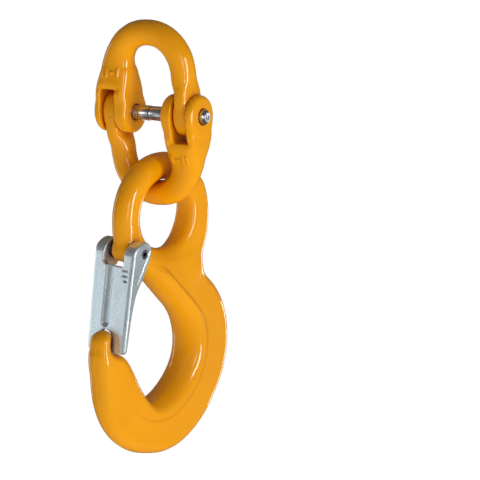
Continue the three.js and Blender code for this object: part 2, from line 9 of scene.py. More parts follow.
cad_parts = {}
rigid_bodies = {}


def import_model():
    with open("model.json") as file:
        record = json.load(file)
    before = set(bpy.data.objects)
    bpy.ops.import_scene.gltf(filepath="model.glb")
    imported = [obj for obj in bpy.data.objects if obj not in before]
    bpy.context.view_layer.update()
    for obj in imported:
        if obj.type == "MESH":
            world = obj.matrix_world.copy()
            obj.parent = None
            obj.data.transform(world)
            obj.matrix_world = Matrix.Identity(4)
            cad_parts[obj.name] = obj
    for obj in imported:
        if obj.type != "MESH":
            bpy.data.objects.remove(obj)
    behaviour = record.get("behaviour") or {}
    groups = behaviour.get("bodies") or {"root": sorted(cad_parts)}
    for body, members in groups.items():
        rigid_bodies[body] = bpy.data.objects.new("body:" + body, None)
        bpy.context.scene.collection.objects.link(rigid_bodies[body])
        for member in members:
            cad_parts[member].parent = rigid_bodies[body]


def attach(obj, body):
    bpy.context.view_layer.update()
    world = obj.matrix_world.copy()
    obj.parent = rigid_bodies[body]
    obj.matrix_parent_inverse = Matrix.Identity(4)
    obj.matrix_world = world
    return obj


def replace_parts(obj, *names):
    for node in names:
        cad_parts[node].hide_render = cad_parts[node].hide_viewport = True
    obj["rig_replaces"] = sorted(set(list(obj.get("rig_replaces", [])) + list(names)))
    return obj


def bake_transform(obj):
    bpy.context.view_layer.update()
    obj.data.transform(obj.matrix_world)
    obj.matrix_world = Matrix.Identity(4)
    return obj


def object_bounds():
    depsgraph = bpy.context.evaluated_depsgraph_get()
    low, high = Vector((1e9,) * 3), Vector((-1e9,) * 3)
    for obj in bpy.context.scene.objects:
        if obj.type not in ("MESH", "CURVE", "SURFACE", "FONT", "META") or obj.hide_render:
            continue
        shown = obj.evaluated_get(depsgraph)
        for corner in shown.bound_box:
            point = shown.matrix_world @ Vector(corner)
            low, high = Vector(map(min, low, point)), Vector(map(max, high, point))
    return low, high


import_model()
CAD_BOX = [list(map(float, p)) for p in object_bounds()]
MM = 0.001

# ------------------------------------------------------------------ driving sizes, mm
WIRE = 7.5
PIN_Z = -40.35
BOW_H = 47.85
EAR_R = 12.4
FORK_IN, FORK_OUT = 12.2, 35.2
SLOT_IN, SLOT_OUT, SLOT_TOP = 19.7, 30.3, 14.8
TONGUE_IN, TONGUE_OUT = 20.05, 29.95
TONGUE_R, TONGUE_X = 12.0, 10.0
BORE_R = 4.8
PIN_R, PIN_FROM, PIN_TO = 4.3, -38.4, 34.6
NECK_R = 3.55
SLEEVE_Y = (0.9, 8.3)
EYE_R, EYE_WIRE = 29.2, 8.1
TWIST, TILT = math.radians(-8.0), math.radians(5.7)
EYE_GAP = 0.2
PIVOT = (-29.8, -39.2)
LUG_R, LUG_HALF, LUG_FAR, EAR_CLEAR = 6.6, 7.9, 5.4, 10.6
LATCH_PIN_R, LATCH_BORE_R = 2.4, 2.7
LATCH_HALF = (16.3, 15.2)
LATCH_SLOT, LATCH_FRONT, LATCH_PLATE, LATCH_TIP = 8.25, 9.55, 3.2, 59.8
LATCH_LEAN = math.radians(8.2)
SPRING_WIRE, SPRING_R = 0.5, 3.95
POCKET_R, POCKET_Y = 4.85, 13.2
TANG = math.radians(40.0)

LINK_ROWS = [
    [23.7, 3.0, 11.4, 12.0, 4.6],
    [23.7, 11.5, 11.5, 11.9, 4.4],
    [23.2, 17.5, 11.4, 10.9, 3.6],
    [22.6, 23.5, 10.7, 9.3, 2.9],
    [22.2, 29.0, 9.8, 8.2, 2.3],
    [20.4, 35.0, 8.8, 7.7, 2.05],
    [15.9, 41.8, 8.0, 7.5, 2.0],
    [8.6, 46.4, 7.6, 7.5, 2.0],
    [0.0, 47.85, 7.5, 7.5, 2.0],
    [-8.6, 46.4, 7.5, 7.5, 2.0],
    [-15.9, 41.8, 7.5, 7.5, 2.0],
    [-20.8, 35.0, 7.5, 7.5, 2.0],
    [-22.9, 27.5, 7.4, 7.5, 2.0],
    [-23.5, 20.5, 6.9, 7.9, 2.2],
    [-24.6, 16.0, 5.6, 8.9, 2.7],
    [-25.0, 13.2, 4.95, 9.5, 3.2],
    [-25.0, 9.0, 4.95, 9.9, 3.6],
    [-25.0, 2.0, 4.95, 10.0, 4.0],
]
HOOK_ROWS = [
    [-26.6, -48.0, -18.0, -40.0, 15.8, 15.8, 5.0, 5.0],
    [-21.9, -51.3, -9.0, -46.8, 17.0, 16.0, 6.0, 5.0],
    [-16.9, -55.2, 1.0, -48.2, 20.5, 16.4, 7.0, 6.0],
    [-12.0, -60.0, 12.5, -46.8, 23.4, 17.0, 8.2, 6.0],
    [-6.8, -65.2, 24.0, -46.0, 24.6, 17.6, 9.0, 6.0],
    [-1.2, -70.8, 31.6, -52.0, 25.0, 18.0, 9.5, 6.0],
    [4.8, -76.6, 36.6, -61.4, 25.0, 18.0, 9.5, 6.2],
    [10.8, -82.6, 46.2, -71.0, 25.0, 18.0, 9.5, 6.4],
    [15.5, -89.8, 53.6, -82.0, 25.0, 18.0, 9.5, 6.6],
    [18.2, -98.0, 57.4, -93.8, 25.0, 18.0, 9.5, 6.6],
    [18.9, -105.0, 58.6, -105.4, 25.0, 18.0, 9.5, 6.6],
    [17.9, -111.6, 57.2, -117.4, 25.0, 18.0, 9.5, 6.6],
    [15.2, -117.6, 53.4, -129.1, 25.0, 18.0, 9.5, 6.6],
    [11.0, -123.0, 47.3, -140.1, 25.0, 18.0, 9.5, 6.6],
    [5.4, -127.8, 38.8, -150.9, 24.8, 18.0, 9.5, 6.6],
    [-1.2, -131.6, 27.8, -160.1, 24.6, 18.0, 9.4, 6.6],
    [-8.2, -133.8, 14.8, -166.8, 24.4, 17.8, 9.2, 6.6],
    [-14.4, -132.8, 0.4, -169.2, 24.2, 17.6, 9.0, 6.6],
    [-19.2, -129.0, -13.2, -167.3, 24.0, 17.4, 8.8, 6.6],
    [-22.9, -123.4, -26.8, -162.5, 23.6, 17.0, 8.6, 6.6],
    [-26.1, -117.6, -38.4, -154.8, 23.2, 16.6, 8.4, 6.6],
    [-28.8, -111.8, -47.0, -144.6, 22.6, 16.2, 8.2, 6.6],
    [-31.4, -106.6, -52.2, -133.0, 21.8, 15.8, 8.0, 6.4],
    [-34.3, -102.3, -54.6, -121.5, 20.8, 15.4, 7.4, 6.2],
    [-38.0, -99.9, -55.3, -111.5, 20.0, 15.0, 6.0, 6.0],
    [-42.3, -99.1, -55.7, -104.5, 17.6, 13.8, 4.8, 5.6],
    [-46.9, -98.3, -55.0, -98.9, 13.0, 11.4, 3.4, 4.0],
]
NOSE_ROWS = [
    [-47.6, -113.0, 3.6, 5.6],
    [-49.6, -106.0, 4.6, 6.9],
    [-50.6, -99.5, 4.9, 7.1],
    [-50.9, -93.0, 4.7, 6.8],
    [-50.4, -88.8, 4.5, 6.7],
    [-49.2, -86.0, 3.7, 5.3],
    [-48.4, -84.6, 2.2, 3.2],
    [-48.0, -84.1, 0.7, 1.0],
]
SHANK_ROWS = [
    [29.2, -14.0, 3.6, 3.6],
    [29.2, -21.1, 6.3, 6.3],
    [28.6, -30.0, 7.9, 7.8],
    [26.2, -40.0, 8.8, 8.6],
    [22.6, -50.0, 8.9, 8.8],
    [19.0, -60.0, 8.0, 8.6],
    [16.0, -68.0, 5.0, 6.0],
]
CHEEK_ROWS = [
    [-29.2, -14.0, 3.6, 3.6],
    [-29.2, -21.1, 6.3, 6.3],
    [-29.2, -28.0, 7.2, 7.5],
    [-29.0, -34.0, 7.2, 7.9],
    [-29.2, -39.2, 6.7, 7.9],
]

# ------------------------------------------------------------------ where each forging's own frame lies
LINK_M = Matrix.Translation((0, 0, PIN_Z))
LOWER_M = LINK_M @ Matrix.Rotation(math.pi, 4, "X")
EYE_IN = EYE_R - EYE_WIRE
HOOK_M = (
    Matrix.Translation((0, 0, PIN_Z - BOW_H + WIRE + EYE_GAP - EYE_IN))
    @ Matrix.Rotation(TWIST, 4, "Z")
    @ Matrix.Rotation(TILT, 4, "Y")
    @ Matrix.Translation((0, 0, EYE_IN))
)
PIVOT_M = HOOK_M @ Matrix.Translation((PIVOT[0], 0, PIVOT[1]))
LATCH_M = PIVOT_M @ Matrix.Rotation(LATCH_LEAN, 4, "Y")


# ------------------------------------------------------------------ tables and lofts
def refine(rows, per):
    """Catmull-Rom through a table's rows."""
    r = np.array(rows, float)
    n = len(r)
    out = []
    for i in range(n - 1):
        p0, p1, p2, p3 = r[max(i - 1, 0)], r[i], r[i + 1], r[min(i + 2, n - 1)]
        for k in range(per):
            t = k / per
            out.append(
                0.5
                * (
                    2 * p1
                    + (p2 - p0) * t
                    + (2 * p0 - 5 * p1 + 4 * p2 - p3) * t * t
                    + (3 * p1 - p0 - 3 * p2 + p3) * t**3
                )
            )
    out.append(r[-1])
    return np.array(out)


def spow(v, p):
    return np.sign(v) * np.abs(v) ** p


def loft(rings):
    """A closed skin over rings with the same number of points: points, quads, triangles."""
    m = len(rings[0])
    pts = np.vstack(rings)
    k = np.arange(m)
    k2 = (k + 1) % m
    quads = np.vstack(
        [
            np.stack([i * m + k, i * m + k2, (i + 1) * m + k2, (i + 1) * m + k], 1)
            for i in range(len(rings) - 1)
        ]
    )
    a, b = len(pts), len(pts) + 1
    last = (len(rings) - 1) * m
    tris = np.vstack(
        [
            np.stack([np.full(m, a), k2, k], 1),
            np.stack([np.full(m, b), last + k, last + k2], 1),
        ]
    )
    pts = np.vstack([pts, rings[0].mean(0), rings[-1].mean(0)])
    return pts, quads, tris


# ------------------------------------------------------------------ distance fields
def smin(a, b, k):
    h = np.clip(0.5 + 0.5 * (b - a) / k, 0, 1)
    return b * (1 - h) + a * h - k * h * (1 - h)


def smax(a, b, k):
    return -smin(-a, -b, k)


class Field:
    """A dense grid of signed distances, mm, in one piece's own frame."""

    def __init__(self, lo, hi, h):
        self.h = h
        self.i0 = np.floor(np.array(lo) / h).astype(int)
        n = np.ceil(np.array(hi) / h).astype(int) - self.i0 + 1
        self.shape = tuple(int(v) for v in n)
        ax = [((self.i0[k] + np.arange(n[k])) * h).astype(np.float32) for k in range(3)]
        self.x = ax[0][:, None, None]
        self.y = ax[1][None, :, None]
        self.z = ax[2][None, None, :]
        self.t = vdb.createLinearTransform(voxelSize=h)

    def skin(self, mesh, band=9.0):
        pts, quads, tris = mesh
        g = vdb.FloatGrid.createLevelSetFromPolygons(
            np.ascontiguousarray(pts, np.float32),
            triangles=np.ascontiguousarray(tris, np.uint32),
            quads=np.ascontiguousarray(quads, np.uint32),
            transform=self.t,
            halfWidth=band,
        )
        a = np.empty(self.shape, np.float32)
        g.copyToArray(a, ijk=tuple(int(v) for v in self.i0))
        return a

    def cyl_y(self, r, y0, y1, e=0.0, cx=0.0, cz=0.0):
        q = np.sqrt((self.x - cx) ** 2 + (self.z - cz) ** 2) - (r - e)
        w = np.abs(self.y - (y0 + y1) / 2) - ((y1 - y0) / 2 - e)
        return (
            np.sqrt(np.maximum(q, 0) ** 2 + np.maximum(w, 0) ** 2)
            + np.minimum(np.maximum(q, w), 0)
            - e
        )

    def box(self, lo, hi, e=0.0):
        ds = []
        for v, a, b in zip((self.x, self.y, self.z), lo, hi):
            ds.append(np.abs(v - (a + b) / 2) - ((b - a) / 2 - e))
        out = np.sqrt(sum(np.maximum(d, 0) ** 2 for d in ds))
        ins = np.maximum(np.maximum(ds[0], ds[1]), ds[2])
        return out + np.minimum(ins, 0) - e

    def sample(self, d, p):
        q = p / self.h - self.i0
        q = np.clip(q, 0, np.array(self.shape) - 1.001)
        i = q.astype(int)
        f = q - i
        v = 0
        for a in (0, 1):
            for b in (0, 1):
                for c in (0, 1):
                    w = (
                        (f[:, 0] if a else 1 - f[:, 0])
                        * (f[:, 1] if b else 1 - f[:, 1])
                        * (f[:, 2] if c else 1 - f[:, 2])
                    )
                    v = v + w * d[i[:, 0] + a, i[:, 1] + b, i[:, 2] + c]
        return v

    def surface(self, d, smooth=3, pull=2):
        d = np.ascontiguousarray(np.clip(d, -6 * self.h, 6 * self.h), np.float32)
        g = vdb.FloatGrid(6 * self.h)
        g.transform = self.t
        g.copyFromArray(d, ijk=tuple(int(v) for v in self.i0))
        p, q = g.convertToQuads(0.0)
        p = p.astype(float)
        q = q.astype(np.int64)
        p, q = biggest(p, q)
        e = self.h * 0.5
        for _ in range(pull):
            v = self.sample(d, p)
            gr = np.stack(
                [
                    (self.sample(d, p + np.eye(3)[k] * e) - self.sample(d, p - np.eye(3)[k] * e)) / (2 * e)
                    for k in range(3)
                ],
                1,
            )
            p = p - gr * (v / np.maximum((gr**2).sum(1), 0.25))[:, None]
        p = relax(p, q, smooth)
        return p, q


def biggest(p, q):
    """The largest connected shell only."""
    lab = np.arange(len(p))
    while True:
        m = lab[q].min(1)
        new = lab.copy()
        for k in range(4):
            np.minimum.at(new, q[:, k], m)
        new = new[new]
        if (new == lab).all():
            break
        lab = new
    keep = np.bincount(lab).argmax()
    use = lab == keep
    idx = np.cumsum(use) - 1
    q = q[use[q].all(1)]
    return p[use], idx[q]


def relax(p, q, times, lam=0.5, mu=-0.52):
    e = np.vstack([q[:, [0, 1]], q[:, [1, 2]], q[:, [2, 3]], q[:, [3, 0]]])
    deg = np.bincount(e[:, 0], minlength=len(p)) + np.bincount(e[:, 1], minlength=len(p))
    for t in range(times * 2):
        f = lam if t % 2 == 0 else mu
        s = np.stack(
            [
                np.bincount(e[:, 0], p[e[:, 1], k], len(p)) + np.bincount(e[:, 1], p[e[:, 0], k], len(p))
                for k in range(3)
            ],
            1,
        )
        p = p + f * (s / deg[:, None] - p)
    return p


def normals(p, q):
    n = np.cross(p[q[:, 2]] - p[q[:, 0]], p[q[:, 3]] - p[q[:, 1]])
    out = np.zeros_like(p)
    for k in range(4):
        for c in range(3):
            out[:, c] += np.bincount(q[:, k], n[:, c], len(p))
    return out / np.maximum(np.linalg.norm(out, axis=1), 1e-12)[:, None]


def waves(p, size, seed):
    """Slow wander over a surface, about -1 to 1."""
    off = Vector((seed * 7.1, seed * 3.7, seed * 1.9))
    return np.array([noise.noise(Vector(v) / size + off) for v in p])


def make(name, p, q, matrix, body, material, nodes):
    m = np.array(matrix)
    w = (p @ m[:3, :3].T + m[:3, 3]) * MM
    w = np.clip(w, np.array(CAD_BOX[0]) + 2e-5, np.array(CAD_BOX[1]) - 2e-5)
    me = bpy.data.meshes.new(name)
    me.from_pydata(w.tolist(), [], q.tolist())
    me.polygons.foreach_set("use_smooth", np.ones(len(me.polygons), bool))
    me.materials.append(material)
    me.update()
    o = bpy.data.objects.new(name, me)
    bpy.context.scene.collection.objects.link(o)
    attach(o, body)
    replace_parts(o, *nodes)
    return o


# ------------------------------------------------------------------ materials
class Nodes:
    def __init__(self, name):
        self.m = bpy.data.materials.new(name)
        self.m.use_nodes = True
        self.t = self.m.node_tree
        self.t.nodes.clear()
        self.out = self.n("ShaderNodeOutputMaterial")
        self.b = self.n("ShaderNodeBsdfPrincipled")
        self.link(self.b, 0, self.out, 0)
        self.co = self.n("ShaderNodeTexCoord").outputs["Object"]

    def n(self, kind, **kw):
        x = self.t.nodes.new(kind)
        for k, v in kw.items():
            setattr(x, k, v)
        return x

    def link(self, a, i, b, j):
        self.t.links.new(a.outputs[i] if not hasattr(a, "is_output") else a, b.inputs[j])

    def noise(self, scale, detail=3.0, rough=0.5, stretch=None, seed=0.0):
        x = self.n("ShaderNodeTexNoise")
        x.inputs["Scale"].default_value = scale
        x.inputs["Detail"].default_value = detail
        x.inputs["Roughness"].default_value = rough
        mp = self.n("ShaderNodeMapping")
        mp.inputs["Location"].default_value = (seed, seed * 0.7, seed * 1.3)
        if stretch:
            mp.inputs["Scale"].default_value = stretch
        self.t.links.new(self.co, mp.inputs[0])
        self.t.links.new(mp.outputs[0], x.inputs["Vector"])
        return x.outputs["Fac"]

    def ramp(self, src, stops):
        r = self.n("ShaderNodeValToRGB")
        el = r.color_ramp.elements
        while len(el) < len(stops):
            el.new(0.5)
        for e, (p, c) in zip(el, stops):
            e.position = p
            e.color = (c, c, c, 1) if isinstance(c, (int, float)) else (*c, 1)
        self.t.links.new(src, r.inputs[0])
        return r.outputs["Color"]

    def mix(self, fac, a, b, mode="MIX"):
        x = self.n("ShaderNodeMix", data_type="RGBA", blend_type=mode)
        for sock, v in ((x.inputs[0], fac), (x.inputs[6], a), (x.inputs[7], b)):
            if isinstance(v, bpy.types.NodeSocket):
                self.t.links.new(v, sock)
            elif isinstance(v, (int, float)):
                sock.default_value = v
            else:
                sock.default_value = (*v, 1)
        return x.outputs[2]

    def math(self, op, a, b=0.0):
        x = self.n("ShaderNodeMath", operation=op)
        for sock, v in ((x.inputs[0], a), (x.inputs[1], b)):
            if isinstance(v, bpy.types.NodeSocket):
                self.t.links.new(v, sock)
            else:
                sock.default_value = v
        return x.outputs[0]

    def bump(self, height, dist, strength=1.0, after=None):
        x = self.n("ShaderNodeBump")
        x.inputs["Strength"].default_value = strength
        x.inputs["Distance"].default_value = dist
        self.t.links.new(height, x.inputs["Height"])
        if after is not None:
            self.t.links.new(after, x.inputs["Normal"])
        return x.outputs["Normal"]

    def set(self, **kw):
        for k, v in kw.items():
            s = self.b.inputs[k.replace("_", " ")]
            if isinstance(v, bpy.types.NodeSocket):
                self.t.links.new(v, s)
            elif isinstance(v, tuple) and len(v) == 3 and s.type == "RGBA":
                s.default_value = (*v, 1)
            else:
                s.default_value = v
        return self.m


def paint_material():
    k = Nodes("orange_powder_coat")
    slow = k.noise(28.0, 3.0, 0.55, seed=1.0)
    base = k.mix(
        k.ramp(slow, [(0.34, 0.0), (0.66, 1.0)]),
        (0.868, 0.360, 0.0018),
        (0.912, 0.392, 0.0026),
    )
    # painted shade and highlight by curvature: hollows and corners darker, convex edges a little lighter than the
    # flats
    geo = k.n("ShaderNodeNewGeometry")
    painted_curvature_shading = k.ramp(geo.outputs["Pointiness"], [(0.44, 0.0), (0.5, 0.5), (0.57, 1.0)])
    base = k.mix(painted_curvature_shading, k.mix(0.45, base, (0.76, 0.235, 0.0015)), base)
    # painted shade: a darker, redder colour where nearby surfaces crowd in
    ao = k.n("ShaderNodeAmbientOcclusion", samples=8)
    ao.inputs["Distance"].default_value = 0.006
    shade = k.ramp(ao.outputs["AO"], [(0.25, 0.0), (0.85, 1.0)])
    base = k.mix(shade, (0.60, 0.125, 0.0008), base)
    # painted shade: the crease beside the hook's bulb is darkened along a per-vertex mask
    at = k.n("ShaderNodeAttribute")
    at.attribute_name = "pool"
    base = k.mix(k.math("MULTIPLY", at.outputs["Fac"], 0.55), base, (0.60, 0.165, 0.0012))
    # a few specks of dust under the coat
    v = k.n("ShaderNodeTexVoronoi", feature="F1")
    v.inputs["Scale"].default_value = 150.0
    k.t.links.new(k.co, v.inputs["Vector"])
    near = k.ramp(v.outputs["Distance"], [(0.028, 1.0), (0.05, 0.0)])
    some = k.ramp(v.outputs["Color"], [(0.86, 0.0), (0.88, 1.0)])
    speck = k.math("MULTIPLY", near, some)
    base = k.mix(k.math("MULTIPLY", speck, 0.55), base, (0.32, 0.10, 0.004))
    peel = k.noise(620.0, 2.0, 0.45, seed=2.0)
    mid = k.noise(190.0, 2.0, 0.5, seed=3.0)
    nrm = k.bump(peel, 0.00005, 0.55)
    nrm = k.bump(mid, 0.00022, 0.40, nrm)
    rough = k.ramp(k.noise(70.0, 3.0, 0.6, seed=4.0), [(0.3, 0.13), (0.7, 0.20)])
    return k.set(
        Base_Color=base,
        Roughness=rough,
        Normal=nrm,
        Specular_IOR_Level=0.5,
        Coat_Weight=0.5,
        Coat_Roughness=0.06,
        IOR=1.5,
    )


def zinc_material():
    k = Nodes("zinc_plate")
    fleck = k.noise(950.0, 3.0, 0.65, seed=5.0)
    patch = k.noise(160.0, 4.0, 0.6, seed=6.0)
    col = k.mix(k.ramp(fleck, [(0.36, 0.0), (0.62, 1.0)]), (0.565, 0.66, 0.72), (0.78, 0.885, 0.94))
    col = k.mix(k.math("MULTIPLY", k.ramp(patch, [(0.40, 0.0), (0.66, 1.0)]), 0.5), col, (0.82, 0.915, 0.96))
    # painted highlight: convex edges and folds lightened towards white
    geo = k.n("ShaderNodeNewGeometry")
    painted_curvature_shading = k.ramp(geo.outputs["Pointiness"], [(0.515, 0.0), (0.60, 1.0)])
    col = k.mix(k.math("MULTIPLY", painted_curvature_shading, 0.9), col, (0.97, 0.98, 0.99))
    # painted shade: near black in crevices and hollows
    ao = k.n("ShaderNodeAmbientOcclusion", samples=8)
    ao.inputs["Distance"].default_value = 0.004
    col = k.mix(k.ramp(ao.outputs["AO"], [(0.2, 0.0), (0.8, 1.0)]), (0.10, 0.11, 0.125), col)
    nrm = k.bump(fleck, 0.00010, 0.55)
    nrm = k.bump(patch, 0.00025, 0.35, nrm)
    rough = k.ramp(patch, [(0.3, 0.30), (0.7, 0.46)])
    return k.set(Base_Color=col, Metallic=0.82, Roughness=rough, Normal=nrm, Specular_IOR_Level=0.5)


def turned_material():
    """Bright ground steel: fine rings round the pin's own axis, Y."""
    k = Nodes("ground_steel")
    rings = k.noise(1.0, 3.0, 0.7, stretch=(120.0, 2600.0, 120.0), seed=7.0)
    smear = k.noise(140.0, 3.0, 0.6, seed=8.0)
    col = k.mix(k.ramp(rings, [(0.3, 0.0), (0.7, 1.0)]), (0.60, 0.63, 0.67), (0.86, 0.88, 0.91))
    col = k.mix(k.math("MULTIPLY", k.ramp(smear, [(0.5, 0.0), (0.75, 1.0)]), 0.35), col, (0.40, 0.39, 0.38))
    nrm = k.bump(rings, 0.00003, 0.5)
    rough = k.ramp(smear, [(0.3, 0.22), (0.7, 0.36)])
    return k.set(Base_Color=col, Metallic=1.0, Roughness=rough, Normal=nrm)


def spring_material():
    k = Nodes("spring_steel")
    oil = k.noise(260.0, 4.0, 0.6, seed=9.0)
    fine = k.noise(1600.0, 2.0, 0.6, seed=10.0)
    col = k.mix(k.ramp(oil, [(0.35, 0.0), (0.65, 1.0)]), (0.17, 0.175, 0.185), (0.36, 0.365, 0.375))
    nrm = k.bump(fine, 0.00003, 0.5)
    rough = k.ramp(oil, [(0.3, 0.26), (0.7, 0.44)])
    return k.set(Base_Color=col, Metallic=1.0, Roughness=rough, Normal=nrm)


PAINT = paint_material()
ZINC = zinc_material()
BRIGHT = turned_material()
SPRING = spring_material()


# ------------------------------------------------------------------ connecting link
def link_half():
    h = 0.5
    f = Field((-15, -33, -15), (15, 38, 58), h)
    rows = refine(LINK_ROWS, 12)
    rings = []
    for i, (y, z, hw, d, p) in enumerate(rows):
        a, b = rows[max(i - 1, 0)], rows[min(i + 1, len(rows) - 1)]
        t = np.array([b[0] - a[0], b[1] - a[1]])
        t /= np.linalg.norm(t)
        q = np.linspace(0, 2 * np.pi, 72, endpoint=False)
        s = hw * spow(np.cos(q), 2 / p)
        x = d * spow(np.sin(q), 2 / p)
        rings.append(np.stack([x, y - t[1] * s, z + t[0] * s], 1))
    bow = f.skin(loft(rings))
    fork = f.cyl_y(EAR_R, FORK_IN, FORK_OUT, 2.9)
    rr = np.sqrt(f.x**2 * (TONGUE_R / TONGUE_X) ** 2 + f.z**2) - (TONGUE_R - 2.0)
    ww = np.abs(f.y + (TONGUE_IN + TONGUE_OUT) / 2) - ((TONGUE_OUT - TONGUE_IN) / 2 - 2.0)
    tongue = (
        np.sqrt(np.maximum(rr, 0) ** 2 + np.maximum(ww, 0) ** 2) + np.minimum(np.maximum(rr, ww), 0) - 2.0
    )
    d = smin(bow, fork, 1.6)
    d = smin(d, tongue, 1.2)
    # the sloped shelf above the slot, on both broad faces
    yc = (SLOT_IN + SLOT_OUT) / 2
    for s in (-1, 1):
        slope = 0.24
        n = math.hypot(1, slope)
        up = f.z - SLOT_TOP
        cut = -((s * f.x) - (10.15 + np.maximum(slope * up, -0.8 * up - 0.3))) / n
        region = f.box((-30, yc - 8.2, SLOT_TOP - 8.0), (30, yc + 8.2, SLOT_TOP + 6.2), 0.6)
        d = smax(d, -smax(cut, region, 0.8), 0.6)
    # raised marks: a plain row of bars
    marks = None
    for s in (-1, 1):
        def pad(y0, y1, z0, z1, e=0.35):
            return f.box((s * 12 - 12, y0, z0), (s * 12 + 12, y1, z1), e)
        group = [
            pad(27.4, 28.9, 22.0, 27.4),
            pad(24.6, 26.1, 22.0, 27.4),
            pad(20.0, 23.2, 24.0, 25.5),
            pad(17.0, 18.5, 22.0, 27.4),
        ]
        group = [np.maximum(g, 6.4 - s * f.x) for g in group]
        g = group[0]
        for m in group[1:]:
            g = np.minimum(g, m)
        marks = g if marks is None else np.minimum(marks, g)
    raised = smax(marks, d - 0.7, 0.2)
    d = smin(d, raised, 0.3)
    # slot for the other half's tongue, and the pin's bore
    slot = f.box((-40, SLOT_IN, -40), (40, SLOT_OUT, SLOT_TOP), 1.6)
    d = smax(d, -slot, 0.9)
    d = smax(d, -f.cyl_y(BORE_R, -60, 60), 0.6)
    # the slot must keep its width and the tongue its thickness
    p, q = f.surface(d, smooth=2)
    n = normals(p, q)
    w = waves(p, 9.0, 3) * 0.06 + waves(p, 22.0, 4) * 0.10
    # the die's parting line, ground back, round the bow's outer edge
    out = np.clip((n[:, 2] * p[:, 2] + n[:, 1] * p[:, 1]) / np.maximum(np.hypot(p[:, 1], p[:, 2]), 1), 0, 1)
    line = np.clip(1 - (p[:, 0] / 1.1) ** 2, 0, 1) ** 2 * np.clip((p[:, 2] - 14) / 8, 0, 1)
    keep = np.clip((np.abs(p[:, 0]) + np.clip(p[:, 2] - 14, 0, 50)) / 6, 0, 1)
    p = p + n * (w * keep * (p[:, 2] > 13) + 0.16 * line * (out > 0.55) * out)[:, None]
    return p, q


LP, LQ = link_half()
upper = make("link_upper", LP, LQ, LINK_M, "upper_half", PAINT, ["link_upper_half"])
lower = make("link_lower", LP, LQ, LOWER_M, "lower_half", PAINT, ["link_lower_half"])


# ------------------------------------------------------------------ hook
def ellipse_loft(rows, per=10, n=56, power=1.0):
    q = np.linspace(0, 2 * np.pi, n, endpoint=False)
    return loft(
        [
            np.stack([x + hx * spow(np.cos(q), power), hy * spow(np.sin(q), power), np.full(n, z)], 1)
            for x, z, hx, hy in refine(rows, per)
        ]
    )


# the step at the bulb's edge: how far from the inner contour, and how strong, row by row
STEP = 0.65
STEP_AT = [6.5, 8.8, 10.4, 9.7, 9.3, 9.5, 9.7, 10.3, 11.3, 11.1, 10.6, 10.4, 10.7, 11.1, 11.6, 12.1, 12.2]
STEP_AT += [12.6, 14.2, 15.8, 16.2, 15.0, 13.0, 10.0, 8.0, 7.0, 6.0]
STEP_BY = [1.0, 1.0, 1.0, 1.0, 1.0, 1.0, 0.85, 0.55, 0.25, 0.09, 0.05, 0.04, 0.04, 0.04, 0.04, 0.05, 0.06, 0.07]
STEP_BY += [0.07, 0.06, 0.04, 0.02, 0.0, 0.0, 0.0, 0.0, 0.0]


def hook_ring(row, n_in=18, n_step=8, n_flat=16, n_out=14):
    ix, iz, ox, oz, wi, wo, ai, ao, c, by = row
    D = math.hypot(ox - ix, oz - iz)
    ex, ez = (ox - ix) / D, (oz - iz) / D
    a = min(ai, D * 0.5)
    b = min(ao, D - a)
    q = np.linspace(0, np.pi / 2, n_in + 1)
    s1, y1 = a * (1 - np.cos(q)), wi / 2 * np.sin(q)
    # the bulb's own flank, the step, then the flat flank tapering to the back
    c = min(max(c, a + 0.05), max(D - b - 2.0, a + 0.05))
    e = min(c + 1.0, D - b - 0.1)
    drop = STEP * max(by, 0) * min(max((D - b - c) / 6.0, 0), 1)
    s2 = np.concatenate([np.linspace(a, c, 4)[1:], np.linspace(c, e, n_step + 1)[1:]])
    s2 = np.concatenate([s2, np.linspace(e, D - b, n_flat + 1)[1:-1]])
    u = np.clip((s2 - c) / max(e - c, 1e-3), 0, 1)
    v = np.clip((s2 - e) / max(D - b - e, 1e-3), 0, 1)
    y2 = wi / 2 + (wo / 2 - wi / 2) * (s2 - a) / max(D - b - a, 1e-3)
    y2 = y2 - drop * (3 * u * u - 2 * u**3) * (1 - v)
    y2 = y2 - (0.4 * drop + 0.12 * min(14 * max(by, 0), 1)) * np.exp(-(((s2 - e) / (1.4 - 0.7 * min(max(by, 0), 1))) ** 2))
    q = np.linspace(0, np.pi / 2, n_out + 1)
    s3, y3 = D - b + b * np.sin(q), wo / 2 * np.cos(q)
    s, y = np.concatenate([s1, s2, s3]), np.concatenate([y1, y2, y3])
    s = np.concatenate([s, s[1:-1][::-1]])
    y = np.concatenate([y, -y[1:-1][::-1]])
    return np.stack([ix + ex * s, y, iz + ez * s], 1)


# how strongly painted shade darkens the crease beside the bulb, row by row
CREASE_SHADE_BY_ROW = [0.0, 0.4, 0.8, 1, 1, 1, 1, 1, 1, 0.95, 0.9, 0.85, 0.8, 0.8, 0.8, 0.8, 0.8, 0.75, 0.6, 0.4, 0.15] + [0.0] * 6


def crease_at(row):
    ix, iz, ox, oz, wi, wo, ai, ao, c, by, pool = row
    D = math.hypot(ox - ix, oz - iz)
    ex, ez = (ox - ix) / D, (oz - iz) / D
    a = min(ai, D * 0.5)
    b = min(ao, D - a)
    c = min(max(c, a + 0.05), max(D - b - 2.0, a + 0.05))
    e = min(c + 1.0, D - b - 0.1)
    ring = hook_ring(row[:10])
    ring = ring[: len(ring) // 2 + 1]
    s = (ring[:, 0] - ix) * ex + (ring[:, 2] - iz) * ez
    return ix + ex * e, float(np.interp(e, s, ring[:, 1])), iz + ez * e, pool


def shaded_crease(p, rows):
    line = [crease_at(r) for r in refine(rows, 24)]
    tree = kdtree.KDTree(len(line) * 2)
    for i, (x, y, z, _) in enumerate(line):
        tree.insert((x, y, z), i)
        tree.insert((x, -y, z), i)
    tree.balance()
    out = np.zeros(len(p))
    for i in np.nonzero(np.abs(p[:, 1]) > 4)[0]:
        _, k, d = tree.find(p[i])
        out[i] = max(line[k][3], 0.0) * math.exp(-((d / 0.95) ** 2))
    return out


